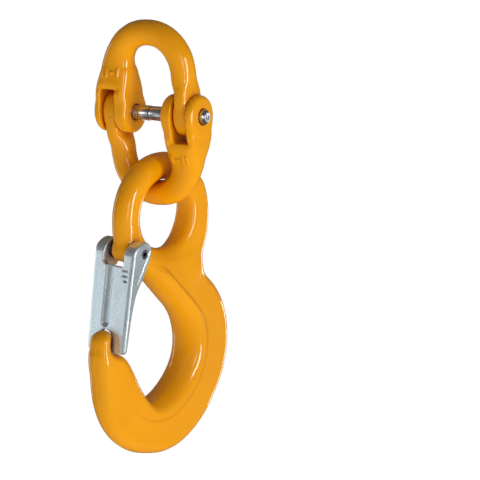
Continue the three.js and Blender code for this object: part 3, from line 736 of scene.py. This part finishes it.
def hook():
    h = 0.66
    f = Field((-61, -17, -175), (64, 17, 21), h)
    # the back edge's round starts a little further in than the driving table says
    fuller = [2.2 * min(1.0, max(0.0, (i - 3) / 4), max(0.0, (23 - i) / 4)) for i in range(len(HOOK_ROWS))]
    rows = [r[:7] + [r[7] + g, c, by] for r, g, c, by in zip(HOOK_ROWS, fuller, STEP_AT, STEP_BY)]
    bowl = f.skin(loft([hook_ring(r) for r in refine(rows, 10)]), 10)
    # the eye: round wire
    R = np.sqrt(f.x**2 + (f.z + EYE_IN) ** 2)
    low = np.clip(-(f.z + EYE_IN) / np.maximum(R, 1e-3), 0, 1)
    r = EYE_WIRE + 0.5 * low
    # round wire at the crown and by the latch, squarer down the shank side
    g = np.clip((f.x - 4) / 16, 0, 1) * np.clip((4 - f.z) / 12, 0, 1)
    pw = 2.0 + 1.7 * g * g * (3 - 2 * g)
    u, v = np.abs(R - EYE_R) + 1e-4, np.abs(f.y * r / EYE_WIRE) + 1e-4
    top = np.maximum(u, v)
    eye = top * ((u / top) ** pw + (v / top) ** pw) ** (1 / pw) - r
    shank = f.skin(ellipse_loft(SHANK_ROWS, power=0.62), 10)
    cheek = f.skin(ellipse_loft(CHEEK_ROWS), 10)
    nose = f.skin(ellipse_loft(NOSE_ROWS, power=0.9), 10)
    lug = f.cyl_y(LUG_R, -LUG_HALF, LUG_FAR, 1.4, PIVOT[0], PIVOT[1])
    d = smin(bowl, shank, 6.0)
    d = smin(d, eye, 4.0)
    d = smin(d, cheek, 2.0)
    d = smin(d, lug, 2.0)
    d = smin(d, nose, 5.0)
    for s in (-1, 1):
        y0, y1 = (LUG_FAR, 40) if s > 0 else (-40, -LUG_HALF)
        d = smax(d, -f.cyl_y(EAR_CLEAR, y0, y1, 0.0, PIVOT[0], PIVOT[1]), 0.7)
    d = smax(d, -f.cyl_y(LATCH_BORE_R, -60, 60, 0.0, PIVOT[0], PIVOT[1]), 0.5)
    ta = TANG - LATCH_LEAN
    d = smax(
        d,
        -f.cyl_y(0.85, 2.4, 20.0, 0.0, PIVOT[0] + SPRING_R * math.cos(ta), PIVOT[1] + SPRING_R * math.sin(ta)),
        0.3,
    )
    p, q = f.surface(d, smooth=1)
    n = normals(p, q)
    # a forging's surface is never quite true
    w = waves(p, 12.0, 5) * 0.07 + waves(p, 30.0, 6) * 0.14
    lugd = np.hypot(p[:, 0] - PIVOT[0], p[:, 2] - PIVOT[1])
    keep = np.clip((lugd - 11) / 8, 0, 1) * np.clip(1 + (p[:, 2] + 12) / -10, 0, 1)
    # the ground parting line round the outside of bowl and back
    c = np.array([-8.0, -104.0])
    rad = p[:, [0, 2]] - c
    rl = np.maximum(np.hypot(rad[:, 0], rad[:, 1]), 1)
    out = (n[:, 0] * rad[:, 0] + n[:, 2] * rad[:, 1]) / rl
    line = np.clip(1 - (p[:, 1] / 1.3) ** 2, 0, 1) ** 2 * (out > 0.3) * np.clip((rl - 40) / 8, 0, 1)
    pool = shaded_crease(p, [r + [g] for r, g in zip(rows, CREASE_SHADE_BY_ROW)])
    p = p + n * (w * keep + 0.18 * line)[:, None]
    return p, q, pool


HP, HQ, HOOK_CREASE_SHADE = hook()
hook_obj = make("hook", HP, HQ, HOOK_M, "hook", PAINT, ["hook_body"])
hook_obj.data.attributes.new("pool", "FLOAT", "POINT").data.foreach_set("value", HOOK_CREASE_SHADE.astype(np.float32))


# ------------------------------------------------------------------ latch
def polygon_field(pts, u, v):
    """Signed distance to a closed polygon over the grid of u by v."""
    pts = np.array(pts, float)
    U, V = np.meshgrid(u, v, indexing="ij")
    best = np.full(U.shape, 1e9)
    inside = np.zeros(U.shape, bool)
    n = len(pts)
    for i in range(n):
        a, b = pts[i], pts[(i + 1) % n]
        e = b - a
        t = np.clip(((U - a[0]) * e[0] + (V - a[1]) * e[1]) / (e @ e), 0, 1)
        best = np.minimum(best, np.hypot(U - a[0] - t * e[0], V - a[1] - t * e[1]))
        c = (a[1] > V) != (b[1] > V)
        with np.errstate(divide="ignore", invalid="ignore"):
            x = a[0] + (V - a[1]) * e[0] / (e[1] if e[1] else 1e-9)
        inside ^= c & (U < x)
    return np.where(inside, -best, best).astype(np.float32)


def latch():
    h = 0.35
    f = Field((-12, -19, -63), (8, 19, 10), h)
    X, Y, Z = f.x[:, 0, 0], f.y[0, :, 0], f.z[0, 0, :]
    outline = [
        [-LATCH_FRONT, -1.4],
        [-LATCH_FRONT + 0.6, 0.8],
        [-7.4, 3.2],
        [-4.8, 5.4],
        [-1.6, 6.9],
        [1.2, 7.0],
        [3.6, 5.6],
        [5.1, 3.0],
        [5.4, 0.0],
        [5.0, -3.4],
        [3.9, -7.0],
        [2.3, -11.0],
        [0.6, -15.6],
        [-2.4, -22.0],
        [-4.2, -30.0],
        [-5.2, -42.0],
        [-5.7, -LATCH_TIP + 2.2],
        [-6.7, -LATCH_TIP],
        [-LATCH_FRONT + 0.8, -LATCH_TIP],
        [-LATCH_FRONT, -LATCH_TIP + 1.2],
    ]
    # the ears' round tops and the cheeks' long curves, run smoothly through the same points
    ring = np.array(outline)
    fine = []
    m = len(ring)
    for i in range(m):
        p0, p1, p2, p3 = ring[i - 1], ring[i], ring[(i + 1) % m], ring[(i + 2) % m]
        if 1 <= i <= 14:
            for t in np.arange(6) / 6:
                fine.append(
                    0.5
                    * (2 * p1 + (p2 - p0) * t + (2 * p0 - 5 * p1 + 4 * p2 - p3) * t * t + (3 * p1 - p0 - 3 * p2 + p3) * t**3)
                )
        else:
            fine.append(p1)
    side = polygon_field(fine, X, Z)[:, None, :]
    w0, w1 = LATCH_HALF

    def w_at(z):
        return w0 + (w1 - w0) * min(1, max(0, -z / LATCH_TIP))

    half = [
        [-w_at(8.5), 12],
        [-w_at(-LATCH_TIP), -LATCH_TIP + 2.5],
        [-w_at(-LATCH_TIP) + 0.7, -LATCH_TIP + 0.7],
        [-w_at(-LATCH_TIP) + 2.5, -LATCH_TIP],
    ]
    plan = polygon_field(half + [[-y, z] for y, z in half[::-1]], Y, Z)[None, :, :]
    d = smax(side + 0 * f.y, plan + 0 * f.x, 1.5)
    # the folds between plate and cheeks are pressed to a narrow chamfer
    lean = (w0 - w1) / LATCH_TIP
    for s in (-1, 1):
        ww = w0 + lean * f.z
        n = math.sqrt(2)
        cham = ((-LATCH_FRONT - f.x) + (s * f.y - ww)) / n + 1.05
        d = smax(d, cham + 0 * f.z, 0.5)
    back = -LATCH_FRONT + LATCH_PLATE
    hollow = smax(
        smax(back - f.x + 0 * f.z, (np.abs(f.y) - (w0 - 2.9 + lean * f.z)), 1.6), f.z + 9.5 + 0 * f.x, 1.2
    )
    d = smax(d, -hollow, 0.7)
    # the window between the ears, its far lower corner well rounded
    bend = np.where(f.y > 0, 3.2, 1.2)
    qy = np.abs(f.y) - LATCH_SLOT + bend
    qz = -8.4 - f.z + bend
    slot = np.hypot(np.maximum(qy, 0), np.maximum(qz, 0)) + np.minimum(np.maximum(qy, qz), 0) - bend
    d = smax(d, -(slot + 0 * f.x), 0.6)
    slot2 = f.box((back, -LATCH_SLOT, -30), (40, LATCH_SLOT, 40), 0.6)
    d = smax(d, -slot2, 0.6)
    # the pressed groove down the plate's middle, with a round end
    zc = np.clip(f.z, -42.0, -7.0)
    groove = np.sqrt((f.x + LATCH_FRONT + 1.5) ** 2 + (f.y - 1.7) ** 2 + (f.z - zc) ** 2) - 3.45
    d = smax(d, -groove, 0.3)
    # the notch over the hook's nose
    zn = np.minimum(f.z, -51.4)
    notch = np.sqrt((f.y - 0.8) ** 2 + (f.z - zn) ** 2) - 4.95
    d = smax(d, -(notch + 0 * f.x), 0.7)
    d = smax(d, -f.cyl_y(LATCH_BORE_R, -60, 60), 0.4)
    d = smax(d, -f.cyl_y(POCKET_R, LATCH_SLOT - 5, POCKET_Y, 0.3), 0.4)
    d = smax(d, -f.box((back, POCKET_Y - 2.4, -14), (-2.6, POCKET_Y, 0), 0.4), 0.3)
    # a drawn-in line along the near cheek, and three plain stamped marks by the near fold
    for s in (-1, 1):
        a, b = np.array([3.6, 2.0]), np.array([-4.6, -19.0])
        e = b - a
        t = np.clip(((f.x - a[0]) * e[0] + (f.z - a[1]) * e[1]) / (e @ e), 0, 1)
        seg = np.sqrt((f.x - a[0] - t * e[0]) ** 2 + (f.z - a[1] - t * e[1]) ** 2)
        deep = np.sqrt(seg**2 + (f.y - s * (w0 + 0.1)) ** 2) - 0.85
        if s < 0:
            d = smax(d, -deep, 0.3)
    for zm, y0, y1 in ((-10.3, -12.6, -8.2), (-13.3, -12.6, -8.2), (-16.3, -12.6, -9.8)):
        d = smax(d, -f.box((-LATCH_FRONT - 1, y0, zm - 0.5), (-LATCH_FRONT + 0.75, y1, zm + 0.5), 0.3), 0.2)
    p, q = f.surface(d, smooth=2)
    n = normals(p, q)
    w = waves(p, 6.0, 8) * 0.035 + waves(p, 18.0, 9) * 0.05
    keep = np.clip((np.abs(p[:, 1]) > LATCH_SLOT + 0.6) | (p[:, 2] < -12), 0, 1)
    return p + n * (w * keep)[:, None], q


TP, TQ = latch()
latch_obj = make("latch_plate", TP, TQ, LATCH_M, "safety_latch", ZINC, ["latch"])


# ------------------------------------------------------------------ turned and slit steel
def revolve(profile, seg, gap=0.0):
    """A closed profile of (radius, y) turned about Y. With a gap, in radians, it is a slit ring."""
    prof = np.array(profile, float)
    m = len(prof)
    closed = gap <= 0
    ang = np.linspace(gap / 2, 2 * np.pi - gap / 2, seg + (0 if closed else 1), endpoint=not closed)
    pts = np.vstack([np.stack([prof[:, 0] * math.cos(a), prof[:, 1], prof[:, 0] * math.sin(a)], 1) for a in ang])
    faces = []
    n = len(ang)
    for i in range(n if closed else n - 1):
        j = (i + 1) % n
        for k in range(m):
            k2 = (k + 1) % m
            faces.append([i * m + k, i * m + k2, j * m + k2, j * m + k])
    if not closed:
        faces.append(list(range(m))[::-1])
        faces.append([(n - 1) * m + k for k in range(m)])
    return pts, faces


def arc(cx, cy, r, a0, a1, n=6):
    return [(cx + r * math.cos(a), cy + r * math.sin(a)) for a in np.radians(np.linspace(a0, a1, n))]


def mesh_piece(name, pts, faces, matrix, body, material, nodes, smooth_angle=35):
    m = np.array(matrix)
    w = (np.array(pts) @ m[:3, :3].T + m[:3, 3]) * MM
    me = bpy.data.meshes.new(name)
    me.from_pydata(w.tolist(), [], [list(map(int, x)) for x in faces])
    import bmesh

    bm = bmesh.new()
    bm.from_mesh(me)
    bmesh.ops.remove_doubles(bm, verts=bm.verts, dist=1e-7)
    bmesh.ops.recalc_face_normals(bm, faces=bm.faces)
    for face in bm.faces:
        face.smooth = True
    for e in bm.edges:
        if len(e.link_faces) == 2 and e.calc_face_angle(0) > math.radians(smooth_angle):
            e.smooth = False
    bm.to_mesh(me)
    bm.free()
    me.materials.append(material)
    o = bpy.data.objects.new(name, me)
    bpy.context.scene.collection.objects.link(o)
    if body:
        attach(o, body)
    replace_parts(o, *nodes)
    return o


def open_revolve(prof, seg=96):
    prof = np.array(prof, float)
    m = len(prof)
    ang = np.linspace(0, 2 * np.pi, seg, endpoint=False)
    pts = np.vstack([np.stack([prof[:, 0] * math.cos(a), prof[:, 1], prof[:, 0] * math.sin(a)], 1) for a in ang])
    faces = []
    for i in range(seg):
        j = (i + 1) % seg
        for k in range(m - 1):
            faces.append([i * m + k, i * m + k + 1, j * m + k + 1, j * m + k])
    faces.append([i * m for i in range(seg)])
    faces.append([i * m + m - 1 for i in range(seg)][::-1])
    return pts, faces


def pin_mesh():
    a, b = SLEEVE_Y
    r = PIN_R
    prof = [(1.1, PIN_FROM + 0.28), (1.7, PIN_FROM + 0.04), (2.1, PIN_FROM), (2.7, PIN_FROM)]
    prof += arc(2.75, PIN_FROM + 0.25, 0.25, -80, -45, 4)
    prof += arc(r - 0.3, PIN_FROM + 1.75, 0.3, -40, 0, 4)
    y = a - 9.0
    prof += [(r, y - 0.5), (r - 0.13, y - 0.3), (r - 0.13, y + 0.3), (r, y + 0.5)]
    prof += [(r, a - 0.75)]
    prof += arc(r - 0.25, a - 0.6, 0.25, 0, 60, 3)
    prof += [(NECK_R + 0.1, a - 0.2), (NECK_R, a), (NECK_R, b), (NECK_R + 0.1, b + 0.2)]
    prof += arc(r - 0.25, b + 0.6, 0.25, -60, 0, 3)
    y = b + 2.4
    prof += [(r, y - 0.5), (r - 0.13, y - 0.3), (r - 0.13, y + 0.3), (r, y + 0.5)]
    prof += arc(r - 0.9, PIN_TO - 0.9, 0.9, 0, 85, 7)
    prof += [(2.2, PIN_TO), (1.2, PIN_TO)]
    return open_revolve(prof, 96)


def tube_profile(ri, ro, y0, y1, e):
    p = arc(ro - e, y0 + e, e, -90, 0, 5) + arc(ro - e, y1 - e, e, 0, 90, 5)
    p += [(ri + e * 0.6, y1), (ri, y1 - e * 0.6), (ri, y0 + e * 0.6), (ri + e * 0.6, y0)]
    return p


pts, faces = pin_mesh()
mesh_piece("cross_pin", pts, faces, LINK_M, "cross_pin", BRIGHT, ["load_pin"])
a, b = SLEEVE_Y
pts, faces = revolve(tube_profile(3.75, 4.5, a + 0.25, b - 0.25, 0.22), 96, gap=1.1 / 4.3)
mesh_piece("pin_sleeve", pts, faces, LINK_M, "cross_pin", BRIGHT, ["locking_sleeve"])
pts, faces = revolve(tube_profile(1.25, LATCH_PIN_R, -LATCH_HALF[0] + 0.4, LATCH_HALF[0] - 0.4, 0.35), 72, gap=0.8 / 1.9)
mesh_piece("roll_pin", pts, faces, PIVOT_M, "hook", SPRING, ["latch_pin"])


def spring():
    y0, y1 = 6.6, POCKET_Y - 1.1
    sweep = math.pi - TANG + 8 * math.pi
    at = lambda a, y: Vector((SPRING_R * math.cos(a), y, SPRING_R * math.sin(a)))
    pts = [at(TANG, 3.1), at(TANG, 4.6), at(TANG, 5.9)]
    steps = 88
    for i in range(1, steps + 1):
        t = i / steps
        pts.append(at(TANG + t * sweep, y0 + (y1 - y0) * t))
    bx = -LATCH_FRONT + LATCH_PLATE + 0.75
    pts += [
        Vector((-SPRING_R - 0.05, y1, -2.5)),
        Vector((-SPRING_R - 0.4, y1, -8)),
        Vector((bx, y1, -17)),
        Vector((bx, y1, -22)),
    ]
    P = np.array(pts)
    # centripetal Catmull-Rom, then even spacing
    ext = np.vstack([2 * P[0] - P[1], P, 2 * P[-1] - P[-2]])
    dense = []
    for i in range(1, len(ext) - 2):
        p = ext[i - 1 : i + 3]
        t = [0.0]
        for k in range(3):
            t.append(t[-1] + max(np.linalg.norm(p[k + 1] - p[k]), 1e-6) ** 0.5)
        for u in np.linspace(t[1], t[2], 12, endpoint=False):
            A = [((t[k + 1] - u) * p[k] + (u - t[k]) * p[k + 1]) / (t[k + 1] - t[k]) for k in range(3)]
            B = [((t[k + 2] - u) * A[k] + (u - t[k]) * A[k + 1]) / (t[k + 2] - t[k]) for k in range(2)]
            dense.append(((t[2] - u) * B[0] + (u - t[1]) * B[1]) / (t[2] - t[1]))
    dense.append(P[-1])
    dense = np.array(dense)
    s = np.concatenate([[0], np.cumsum(np.linalg.norm(np.diff(dense, axis=0), axis=1))])
    u = np.linspace(0, s[-1], 640)
    C = np.stack([np.interp(u, s, dense[:, k]) for k in range(3)], 1)
    T = np.gradient(C, axis=0)
    T /= np.linalg.norm(T, axis=1)[:, None]
    N = np.array([1.0, 0, 0])
    rings = []
    for i in range(len(C)):
        N = N - T[i] * (N @ T[i])
        N /= np.linalg.norm(N)
        B = np.cross(T[i], N)
        q = np.linspace(0, 2 * np.pi, 14, endpoint=False)
        r = SPRING_WIRE * (1.0 if 1 < i < len(C) - 2 else 0.75)
        rings.append(C[i] + r * (np.cos(q)[:, None] * N + np.sin(q)[:, None] * B))
    p, q, t = loft(rings)
    return p, [list(x) for x in q] + [list(x) for x in t]


pts, faces = spring()
spring_obj = mesh_piece("torsion_spring", pts, faces, LATCH_M, None, SPRING, ["latch_spring"], 60)
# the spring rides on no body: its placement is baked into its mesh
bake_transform(spring_obj)

# ------------------------------------------------------------------ camera
S_PX, DIST = 1.659, 1000.0
AZ, EL, ROLL = math.radians(-54.491), math.radians(15.701), math.radians(3.822)
TARGET = Vector((0, 0, -125.0))
TARGET_PX = (162.417, 251.556)
back = Vector((math.sin(AZ) * math.cos(EL), -math.cos(AZ) * math.cos(EL), math.sin(EL)))
right0 = Vector((math.cos(AZ), math.sin(AZ), 0.0))
up0 = back.cross(right0)
right = math.cos(ROLL) * right0 - math.sin(ROLL) * up0
up = math.sin(ROLL) * right0 + math.cos(ROLL) * up0
focal = S_PX * DIST
want = Vector(((TARGET_PX[0] - 240) / focal, -(TARGET_PX[1] - 240) / focal, -1.0)).normalized()
turn = want.rotation_difference(Vector((0, 0, -1))).to_matrix()
basis = Matrix((right, up, back)).transposed() @ turn
cam_data = bpy.data.cameras.new("camera")
cam_data.sensor_width = 36.0
cam_data.lens = focal / 480.0 * 36.0
cam_data.clip_start = 0.01
cam_data.clip_end = 100.0
camera = bpy.data.objects.new("camera", cam_data)
camera.matrix_world = Matrix.Translation((TARGET + back * DIST) * MM) @ basis.to_4x4()
bpy.context.scene.collection.objects.link(camera)
bpy.context.scene.camera = camera

# ------------------------------------------------------------------ studio
centre = TARGET * MM


def softbox(name, way, dist, w, h, power, glossy=True, colour=(1, 1, 1)):
    d = Vector(way).normalized()
    pos = centre + d * dist
    li = bpy.data.lights.new(name, "AREA")
    li.shape = "RECTANGLE"
    li.size, li.size_y = w, h
    li.energy = power
    li.color = colour
    o = bpy.data.objects.new(name, li)
    z = d
    x = Vector((0, 0, 1)).cross(z)
    x = x.normalized() if x.length > 1e-3 else Vector((1, 0, 0))
    y = z.cross(x)
    o.matrix_world = Matrix.Translation(pos) @ Matrix((x, y, z)).transposed().to_4x4()
    o.visible_glossy = glossy
    o.visible_camera = False
    bpy.context.scene.collection.objects.link(o)
    return o


R, U, K = right0.copy(), Vector((0, 0, 1)), Vector((back.x, back.y, 0)).normalized()
# broad fills that only wash the colour in
def around(az, el):
    """A direction az degrees to the right of the camera's heading and el degrees up."""
    a, e = math.radians(az), math.radians(el)
    return math.cos(e) * (math.sin(a) * R + math.cos(a) * K) + math.sin(e) * U


softbox("fill_front", around(-5, 15), 1.6, 1.3, 1.3, 4.3, glossy=False)
softbox("fill_left", around(-85, -8), 1.4, 1.0, 0.9, 1.8, glossy=False)
softbox("fill_right", around(85, 10), 1.4, 1.0, 1.2, 2.5, glossy=False)
softbox("fill_back", around(175, 20), 1.6, 1.4, 1.4, 5.0, glossy=False)
softbox("fill_top", around(10, 82), 1.4, 1.0, 1.0, 1.2, glossy=False, colour=(1, 0.82, 0.62))
# strips whose reflections draw the forms
softbox("key", around(42, 3), 1.2, 0.18, 0.80, 5.3)
softbox("front_strip", around(12, 12), 1.3, 0.07, 0.55, 1.0)
softbox("left_strip", around(-128, -5), 1.2, 0.15, 0.9, 0.7)

# cards flagged off everything but the pieces they are meant for
metal = [bpy.data.objects[n] for n in ("latch_plate", "cross_pin", "pin_sleeve", "roll_pin")]


def flagged_card(*a, on=metal, **kw):
    o = softbox(*a, **kw)
    c = bpy.data.collections.new(o.name + "_receivers")
    for m in on:
        c.objects.link(m)
    o.light_linking.receiver_collection = c


flagged_card("right_strip", around(134, -24), 1.2, 0.11, 0.50, 1.7, on=[hook_obj])
flagged_card("rear_card", around(-170, -20), 1.2, 1.10, 0.75, 5.6, colour=(0.93, 0.98, 1.0))
flagged_card("left_card", around(-100, -10), 1.3, 0.95, 0.90, 3.6, colour=(0.93, 0.98, 1.0))
flagged_card("chamfer_strip", around(-48, -8), 1.2, 0.10, 0.90, 0.7)
flagged_card("pin_card", around(-76, 12), 1.0, 0.26, 0.26, 1.0, colour=(0.92, 0.97, 1.0), on=metal[1:])
flagged_card("pin_end", around(107, -15), 1.2, 0.26, 0.30, 0.55, colour=(0.93, 0.97, 1.0), on=metal[1:])
flagged_card("end_card", around(106, -8), 1.2, 0.55, 0.60, 0.65, colour=(0.95, 0.98, 1.0))

world = bpy.data.worlds.new("studio")
bpy.context.scene.world = world
world.use_nodes = True
wt = world.node_tree
wt.nodes.clear()
wo = wt.nodes.new("ShaderNodeOutputWorld")
bg = wt.nodes.new("ShaderNodeBackground")
bg2 = wt.nodes.new("ShaderNodeBackground")
lp = wt.nodes.new("ShaderNodeLightPath")
mx = wt.nodes.new("ShaderNodeMixShader")
bg.inputs[0].default_value = (1.0, 0.92, 0.84, 1)
bg.inputs[1].default_value = 0.09
bg2.inputs[0].default_value = (1, 1, 1, 1)
bg2.inputs[1].default_value = 1.05
wt.links.new(lp.outputs["Is Camera Ray"], mx.inputs[0])
wt.links.new(bg.outputs[0], mx.inputs[1])
wt.links.new(bg2.outputs[0], mx.inputs[2])
wt.links.new(mx.outputs[0], wo.inputs[0])

# a pale floor far enough below the hanging hook to take only a breath of shadow
me = bpy.data.meshes.new("floor")
zf = CAD_BOX[0][2] - 1.5
me.from_pydata([(-20, -20, zf), (20, -20, zf), (20, 20, zf), (-20, 20, zf)], [], [(0, 1, 2, 3)])
floor = bpy.data.objects.new("floor", me)
bpy.context.scene.collection.objects.link(floor)
fm = Nodes("pale_floor")
grain = fm.noise(40.0, 3.0, 0.5, seed=11.0)
fm.set(Base_Color=fm.mix(grain, (0.86, 0.86, 0.86), (0.90, 0.90, 0.90)), Roughness=0.9, Specular_IOR_Level=0.1)
fm.b.inputs["Emission Color"].default_value = (1, 1, 1, 1)
fm.b.inputs["Emission Strength"].default_value = 0.94
me.materials.append(fm.m)
floor.visible_glossy = False

view = bpy.context.scene.view_settings
view.view_transform = "Standard"
view.look = "None"
view.exposure = 0.0
view.gamma = 1.0

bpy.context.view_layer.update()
for o in bpy.data.objects:
    if o.type == "MESH" and "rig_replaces" in o:
        print("PIECE", o.name, len(o.data.polygons), sum(len(p.vertices) - 2 for p in o.data.polygons))
